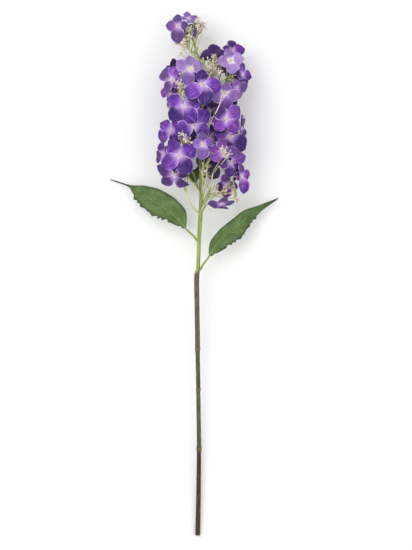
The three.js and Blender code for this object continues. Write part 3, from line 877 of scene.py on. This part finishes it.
def branch_copy(node):
    """A branch as grown: its round fork melted together and smoothed."""
    source = NODES[node].data
    points = np.array([v.co for v in source.vertices])
    kept, index = np.unique(np.round(points, 6), axis=0, return_inverse=True)
    index = index.ravel()
    faces = [tuple(int(index[i]) for i in face.vertices) for face in source.polygons]
    faces = [f for f in faces if len(set(f)) == len(f)]
    name = node + "_grown"
    piece = plain_object(name, mesh_of(name, kept, faces, ()))
    melt = piece.modifiers.new("melt", "REMESH")
    melt.mode = "VOXEL"
    melt.voxel_size = 0.00042
    melt.use_smooth_shade = True
    soft = piece.modifiers.new("soft", "SMOOTH")
    soft.iterations = 6
    soft.factor = 0.5
    return frozen(piece)


class HYDRANGEA_OT_branches(bpy.types.Operator):
    """Make the green branches of the flower head"""
    bl_idname = "hydrangea.branches"
    bl_label = "Branches"

    def execute(self, context):
        paint = material("branch green", branch_material, context.scene.hydrangea_colours)
        for node in branch_nodes():
            piece = branch_copy(node)
            piece.data.materials.clear()
            piece.data.materials.append(paint)
            settle(piece, "green_branch", node)
        return {"FINISHED"}


# Bud clusters among the florets, on their own long stalks. Each stands beside a floret's throat:
# millimetres across the stem, along it and above.
LOOSE_BUDS = (
    ("crown_edge", (6, 8, 6)), ("crown_edge", (8, 3, 6)), ("crown_edge", (2, 2, 6)),
    ("crown_left", (10, -24, 0)), ("crown_left", (7, -32, 2)), ("crown_left", (16, -18, -4)),
    ("crown_left", (5, -40, 6)), ("turned_away", (-9, -9, 4)), ("turned_away", (-3, -17, 8)),
    ("turned_away", (2, -12, 4)), ("turned_away", (5, -22, 10)), ("turned_away", (-6, -28, 12)),
    ("turned_away", (0, -6, 0)), ("turned_away", (-13, -20, 10)), ("left_small", (16, 8, 20)),
    ("left_small", (11, 14, 16)), ("left_small", (22, -3, 24)), ("front_low", (8, 26, 6)),
    ("front_low", (5, 30, 4)), ("front_low", (12, 21, 5)), ("arched", (2, 0, 8)), ("arched", (6, -5, 6)),
    ("right_low", (-24, -38, 0)), ("centre_pale", (-2, -40, -12)),
)
# Bare stalks that show between the florets, each from one place beside a floret to another.
BARE_STALKS = (
    (("cream_throat", (-5, -4, 15)), ("middle_deep", (20, -3, 6))),
    (("crown_left", (21, -40, 6)), ("upper_pale", (15, -2, -8))),
    (("crown_left", (33, -34, 2)), ("upper_pale", (20, -4, -10))),
    (("crown_left", (27, -22, -2)), ("upper_pale", (17, 4, -14))),
    (("right_low", (-34, -6, 4)), ("lowest", (-30, 1, -14))),
    (("right_low", (-26, -16, 2)), ("lowest", (-28, -1, -14))),
    (("right_low", (-18, -32, 0)), ("lowest", (-26, -3, -14))),
    (("right_low", (-40, 0, 2)), ("lowest", (-32, 5, -16))),
)


def beside(name, offset):
    """The place that stands so many millimetres away from a floret's throat."""
    return read_floret("floret_" + name)["throat"] + Vector(offset) * 0.001


LOOSE_STALK_POINTS = 8
LOOSE_STALK_RADII = (0.0005, 0.0007)  # at the bud and at the foot


class HYDRANGEA_OT_buds(bpy.types.Operator):
    """Make the clusters of closed buds at the ends of the twigs"""
    bl_idname = "hydrangea.buds"
    bl_label = "Bud clusters"

    def execute(self, context):
        sizes, colours = context.scene.hydrangea_sizes, context.scene.hydrangea_colours
        chance = random.Random(11)
        points, ways, lines = [], [], []
        knobs = [knob for node in branch_nodes() for knob in knob_centres(node)]
        targets = stalk_targets()
        for spot in LOOSE_BUDS:
            knob = beside(*spot)
            root = nearest_below(targets, knob)
            leaving_way = Vector((0, -0.6, -0.8))
            arriving_way = Vector((0, -1, 0))
            lines.append(bent_line(knob, leaving_way, root, arriving_way, LOOSE_STALK_POINTS, LOOSE_STALK_RADII))
            knobs.append(knob)
        for ends in BARE_STALKS:
            top, low = (beside(*end) for end in ends)
            lines.append(bent_line(top, Vector((0, -1, 0)), low, Vector((-0.3, -1, 0)).normalized(), 6,
                                   (0.0007, 0.0009)))
        for knob in knobs:
            out = (knob - stem_centre(knob.y - 0.01)).normalized()
            for _ in range(sizes.buds_per_cluster):
                lean = Vector((chance.gauss(0, 1), chance.gauss(0, 1), chance.gauss(0, 1))).normalized()
                way = (lean + out * 0.75).normalized()
                place = knob + way * chance.uniform(0.0028, 0.0082)
                points.append(place)
                ways.append(way)
                lines.append([(knob, 0.0005), (knob.lerp(place, 0.5), 0.0004), (place, 0.00045)])
        paint = material("bud", bud_material, colours)
        stalks = material("floret stalk", stalk_material, "floret stalk",
                          colours.stalk_pale, colours.stalk_green, 0.45, 1.15)
        piece = bud_tree().run(points_object("bud_clusters", points, ways),
                               Radius=sizes.bud_radius, Seed=7, Material=paint)
        settle(piece, "violet_petal")
        thin = stalk_tree().run(curves_object("bud_stalks", lines), Sides=6, Material=stalks)
        settle(thin, "green_branch")
        return {"FINISHED"}


# ---------------------------------------------------------------- stem

def stem_rings():
    """Centre and radius of the stem at each ring of its solid, from the cut end up."""
    points = unique_points("main_stem")
    points = points[np.argsort(points[:, 1])]
    breaks = np.where(np.diff(points[:, 1]) > 0.0009)[0] + 1
    rings = []
    for cluster in np.split(points, breaks):
        if len(cluster) >= 6:
            centre = cluster.mean(axis=0)
            rings.append((centre, np.linalg.norm(cluster - centre, axis=1).max()))
    return rings


STEM_RINGS = stem_rings()
STEM_Y = [c[1] for c, _ in STEM_RINGS]


def stem_centre(y):
    return Vector([float(np.interp(y, STEM_Y, [c[k] for c, _ in STEM_RINGS])) for k in range(3)])


STEM_SIDES = 28
STEM_STEP = 0.0014
SHEATH = 0.386           # where the woody bark ends and the green stalk begins, from the cut end
NODE_PLACES = (0.127, 0.213, 0.272)


def stem_surface():
    """Rings of the finished stem with its bark relief, and the values that its material reads."""
    start, finish = STEM_Y[0], STEM_Y[-1]
    count = int((finish - start) / STEM_STEP)
    rings, values = [], {key: [] for key in ("height", "ring", "green_share", "pith")}
    for i in range(count + 1):
        y = start + (finish - start) * i / count
        height = y - start
        centre = stem_centre(y)
        way = (stem_centre(y + 0.004) - stem_centre(y - 0.004)).normalized()
        right = way.cross(UP).normalized()
        up = right.cross(way)
        radius = float(np.interp(y, STEM_Y, [r for _, r in STEM_RINGS]))
        lip = sum(math.exp(-(((height - n) / 0.0014) ** 2)) for n in NODE_PLACES)
        ring = []
        for j in range(STEM_SIDES):
            a = 2 * math.pi * j / STEM_SIDES
            slanted = SHEATH + 0.006 * math.cos(a + 0.6)
            green = min(max((height - slanted) / 0.0012, 0.0), 1.0)
            grain = noise.noise(Vector((math.cos(a) * 4, height * 55, math.sin(a) * 4)))
            ridge = noise.noise(Vector((math.cos(a) * 9, height * 160, math.sin(a) * 9)))
            rough = (0.00016 * grain + 0.0001 * ridge) * (1 - 0.75 * green)
            worn = 0.93 if i == 0 else 1.0
            step = 0.00028 * (1 - green)
            r = (radius - 0.0002 + rough + step + lip * 0.00035) * worn
            ring.append(centre + right * (math.cos(a) * r) + up * (math.sin(a) * r))
            values["height"].append(height)
            values["ring"].append(min(lip, 1.0))
            values["green_share"].append(green)
            values["pith"].append(1.0 if i == 0 else 0.0)
        rings.append(ring)
    ends = {"height": (0, finish - start), "ring": (0, 0), "green_share": (0, 1), "pith": (1, 0)}
    for key, pair in ends.items():
        values[key] += pair
    return rings, values


class HYDRANGEA_OT_stem(bpy.types.Operator):
    """Make the woody stem with its nodes, and its green upper part"""
    bl_idname = "hydrangea.stem"
    bl_label = "Stem"

    def execute(self, context):
        rings, values = stem_surface()
        points, faces = loft(rings)
        faces = [tuple(reversed(f)) for f in faces]
        paint = material("stem bark", bark_material, context.scene.hydrangea_colours)
        piece = plain_object("stem", mesh_of("stem", points, faces, (paint,), values.items()))
        settle(piece, "bark", "main_stem")
        return {"FINISHED"}


# ---------------------------------------------------------------- leaves

LEAF_SCAN = 0.0006       # step of the feeler that measures a leaf's solid
LEAF_ROWS = 96
LEAF_COLUMNS = 12        # on each side of the rib
PETIOLE_WIDTH = 0.0042   # a leaf's solid is wider than this where its blade is


BLADE_FROM = 0.008  # in a slice of a leaf narrower than this, the rib lies in the middle


def measure_leaf(node):
    """The outline and height of a leaf's solid, felt from above along rows square to its length."""
    mesh = NODES[node].data
    solid = BVHTree.FromPolygons([v.co for v in mesh.vertices], [p.vertices for p in mesh.polygons])
    points = unique_points(node)
    gaps = [(Vector(p) - stem_centre(p[1])).length for p in points]
    root = Vector(points[int(np.argmin(gaps))])
    tip = Vector(points[int(np.argmax([(Vector(p) - root).xy.length for p in points]))])
    way = Vector((tip.x - root.x, tip.y - root.y, 0))
    length = way.length
    way.normalize()
    side = Vector((-way.y, way.x, 0))
    rows = []
    for i in range(61):
        share = i / 60
        hits = []
        for k in range(-70, 71):
            start = root + way * (length * share) + side * (k * LEAF_SCAN)
            start.z = 0.3
            hit = solid.ray_cast(start, -UP)[0]
            if hit is not None:
                hits.append((k * LEAF_SCAN, hit.z))
        if hits:
            offsets = [h[0] for h in hits]
            if offsets[-1] - offsets[0] > BLADE_FROM:
                rib = min(hits, key=lambda h: h[1])[0]
            else:
                rib = sum(offsets) / len(offsets)
            rows.append((share, offsets[0], rib, offsets[-1], hits))
    return root, way, side, length, rows


def eased(values, passes=3):
    for _ in range(passes):
        values = [values[0]] + [(values[i - 1] + 2 * values[i] + values[i + 1]) / 4
                                for i in range(1, len(values) - 1)] + [values[-1]]
    return values


def leaf_shape(node, sizes, teeth):
    """Points, faces and values of one blade, and the line of its rib from the stem to the tip."""
    root, way, side, length, rows = measure_leaf(node)
    shares = [r[0] for r in rows]
    low, rib, high = (eased([r[k] for r in rows]) for k in (1, 2, 3))
    widths = [h - l for h, l in zip(high, low)]
    start = next(s for s, w in zip(shares, widths) if w > PETIOLE_WIDTH) - 0.5 * shares[1]

    def height_at(share, offset):
        place = min(max(int(np.searchsorted(shares, share)), 1), len(rows) - 1)
        total = 0.0
        t = (share - shares[place - 1]) / (shares[place] - shares[place - 1])
        for row, weight in ((rows[place - 1], 1 - t), (rows[place], t)):
            total += weight * float(np.interp(offset, [h[0] for h in row[4]], [h[1] for h in row[4]]))
        return total

    points, faces = [], []
    values = {key: [] for key in ("along", "across", "vein")}
    columns = [j / LEAF_COLUMNS for j in range(-LEAF_COLUMNS, LEAF_COLUMNS + 1)]
    for i in range(LEAF_ROWS + 1):
        t = i / LEAF_ROWS
        share = start + (shares[-1] - start) * t
        edges = [float(np.interp(share, shares, e)) for e in (low, rib, high)]
        open_up = min(t / 0.03, 1.0) ** 0.5
        for v in columns:
            reach = (edges[2] - edges[1]) if v > 0 else (edges[1] - edges[0])
            tooth_size = teeth[1 if v > 0 else 0]
            tooth_place = t * LEAF_TOOTH_COUNT + 0.5 * math.sin(t * 21)
            saw = tooth_place % 1.0
            uneven = 0.7 + 0.6 * abs(math.sin(3.7 * math.floor(tooth_place)))
            tooth = (saw if saw < 0.75 else (1 - saw) * 3) * tooth_size * uneven
            tooth *= min(t * 12, 1) * min(max((LEAF_TOOTH_END - t) * 12, 0), 1)
            offset = edges[1] + v * (reach * open_up + 0.0004) + v * abs(v) ** 5 * tooth
            vein_place = (t - 0.15 * abs(v) ** 1.25) * sizes.vein_pairs
            nearest = abs(vein_place - round(vein_place))
            vein = math.exp(-((nearest / 0.085) ** 2)) * (1 - 0.55 * abs(v)) * min(abs(v) * 6, 1)
            vein = max(vein, math.exp(-((v / 0.045) ** 2)) * (1 - 0.4 * t))
            quilt = math.sin(math.pi * min(nearest * 2, 1)) * math.sin(math.pi * abs(v)) * 0.0009
            wave = 0.0011 * math.sin(t * 17 + (2 if v > 0 else 0)) * v * v * math.sin(math.pi * t)
            z = height_at(share, min(max(offset, edges[0]), edges[2])) - 0.0005
            z += (quilt - 0.0005 * vein + wave) * min(t * 6, 1) * min((1 - t) * 5, 1)
            place = root + way * (length * share) + side * offset
            place.z = max(z, 0.0009)
            points.append(place)
            for key, number in (("along", t), ("across", v), ("vein", vein)):
                values[key].append(number)
    row = len(columns)
    for i in range(LEAF_ROWS):
        for j in range(row - 1):
            a = i * row + j
            faces.append((a, a + row, a + row + 1, a + 1))
    ribline = []
    for share in np.linspace(0.0, shares[-1] * 0.97, 26):
        offset = float(np.interp(share, shares, rib))
        place = root + way * (length * float(share)) + side * offset
        place.z = height_at(float(share), offset) - (0.0014 if share > start else 0.0018)
        ribline.append(place)
    return points, faces, values, ribline


LEAF_TOOTH_COUNT = 11
LEAF_TOOTH_END = 0.76    # the drawn-out tip has no teeth
LEAF_TEETH = {"leaf_left": (0.0003, 0.0062), "leaf_right": (0.0042, 0.0003), "leaf_small": (0.0008, 0.0008)}


class HYDRANGEA_OT_leaves(bpy.types.Operator):
    """Make the serrated, veined leaves with their stalks"""
    bl_idname = "hydrangea.leaves"
    bl_label = "Leaves"

    def execute(self, context):
        sizes, colours = context.scene.hydrangea_sizes, context.scene.hydrangea_colours
        top = material("leaf top", leaf_material, colours, "leaf top")
        under = material("leaf under", leaf_material, colours, "leaf under", True)
        stalk = material("leaf stalk", stalk_material, "leaf stalk",
                         colours.stalk_green, colours.leaf_top, 0.35, 0.8)
        for node, teeth in LEAF_TEETH.items():
            points, faces, values, ribline = leaf_shape(node, sizes, teeth)
            blade_mesh = mesh_of(node + "_blade", points, faces, (top, under), values.items())
            blade = plain_object(node + "_blade", blade_mesh)
            shell = blade.modifiers.new("thickness", "SOLIDIFY")
            shell.thickness = sizes.leaf_thickness
            shell.offset = -1
            shell.material_offset = 1
            soft = blade.modifiers.new("soft", "SUBSURF")
            soft.levels = soft.render_levels = 1
            blade = frozen(blade)
            settle(blade, "leaf_green", node)
            widest = 0.0017 if node != "leaf_small" else 0.0007
            steps = len(ribline) - 1
            line = [(p, widest * (1 - 0.82 * (k / steps) ** 0.6)) for k, p in enumerate(ribline)]
            joint = stem_centre(ribline[0].y - 0.004)
            line.insert(0, (joint.lerp(ribline[0], 0.35), widest * 1.15))
            rib = stalk_tree().run(curves_object(node + "_rib", [line]), Sides=12, Material=stalk)
            settle(rib, "leaf_green")
        return {"FINISHED"}


# ---------------------------------------------------------------- stage

class HYDRANGEA_OT_stage(bpy.types.Operator):
    """Make the pale floor, the soft lights and the camera"""
    bl_idname = "hydrangea.stage"
    bl_label = "Stage"

    def execute(self, context):
        scene, stage = context.scene, context.scene.hydrangea_stage
        size = 6.0
        corners = [(-size, -size, 0), (size, -size, 0), (size, size, 0), (-size, size, 0)]
        paint = material("floor", floor_material, scene.hydrangea_colours)
        floor = plain_object("floor", mesh_of("floor", corners, [(0, 1, 2, 3)], (paint,)))
        floor.location.z = cad_low.z - 0.0002
        middle = (cad_low + cad_high) / 2
        for name, place, power, width in (
            ("key light", (-0.9, 0.7, 2.0), stage.key_power, 1.6),
            ("fill light", (1.3, -0.5, 1.6), stage.key_power * 0.35, 1.8),
        ):
            lamp = bpy.data.lights.new(name, "AREA")
            lamp.energy = power
            lamp.size = width
            thing = bpy.data.objects.new(name, lamp)
            scene.collection.objects.link(thing)
            thing.location = middle + Vector(place)
            thing.rotation_euler = (middle - thing.location).to_track_quat("-Z", "Y").to_euler()
        world = scene.world or bpy.data.worlds.new("studio")
        scene.world = world
        world.use_nodes = True
        sky = world.node_tree.nodes["Background"]
        sky.inputs["Color"].default_value = (1, 1, 1, 1)
        sky.inputs["Strength"].default_value = stage.world_light
        camera = bpy.data.cameras.new("camera")
        camera.lens = stage.focal_length
        camera.sensor_width = 36
        camera.clip_end = 50
        viewer = bpy.data.objects.new("camera", camera)
        scene.collection.objects.link(viewer)
        length = (cad_high.y - cad_low.y) * stage.view_length
        distance = length * camera.lens / camera.sensor_width
        height = (cad_low.z + cad_high.z) / 2 + distance
        viewer.location = (middle.x + stage.view_aside, middle.y, height)
        scene.camera = viewer
        scene.view_settings.view_transform = "Standard"
        return {"FINISHED"}


# ---------------------------------------------------------------- panel and main

PIECES = (
    HYDRANGEA_OT_stage, HYDRANGEA_OT_stem, HYDRANGEA_OT_branches, HYDRANGEA_OT_florets,
    HYDRANGEA_OT_stalks, HYDRANGEA_OT_throats, HYDRANGEA_OT_buds, HYDRANGEA_OT_leaves,
)


class HYDRANGEA_PT_panel(bpy.types.Panel):
    """Lists the pieces of the hydrangea stem"""
    bl_idname = "HYDRANGEA_PT_panel"
    bl_label = "Panicle Hydrangea"
    bl_space_type = "VIEW_3D"
    bl_region_type = "UI"
    bl_category = "Hydrangea"

    def draw(self, context):
        for piece in PIECES:
            self.layout.operator(piece.bl_idname)
        for group in ("hydrangea_sizes", "hydrangea_colours", "hydrangea_stage"):
            values = getattr(context.scene, group)
            column = self.layout.column()
            for key in values.__annotations__:
                column.prop(values, key)


GROUPS = {
    "hydrangea_sizes": HydrangeaSizes,
    "hydrangea_colours": HydrangeaColours,
    "hydrangea_stage": HydrangeaStage,
}


def register():
    for cls in (*GROUPS.values(), *PIECES, HYDRANGEA_PT_panel):
        bpy.utils.register_class(cls)
    for name, group in GROUPS.items():
        setattr(bpy.types.Scene, name, PointerProperty(type=group))


def unregister():
    for name in GROUPS:
        delattr(bpy.types.Scene, name)
    for cls in reversed((*GROUPS.values(), *PIECES, HYDRANGEA_PT_panel)):
        bpy.utils.unregister_class(cls)


def main():
    register()
    for piece in PIECES:
        group, _, name = piece.bl_idname.partition(".")
        getattr(getattr(bpy.ops, group), name)()


if __name__ == "__main__":
    main()
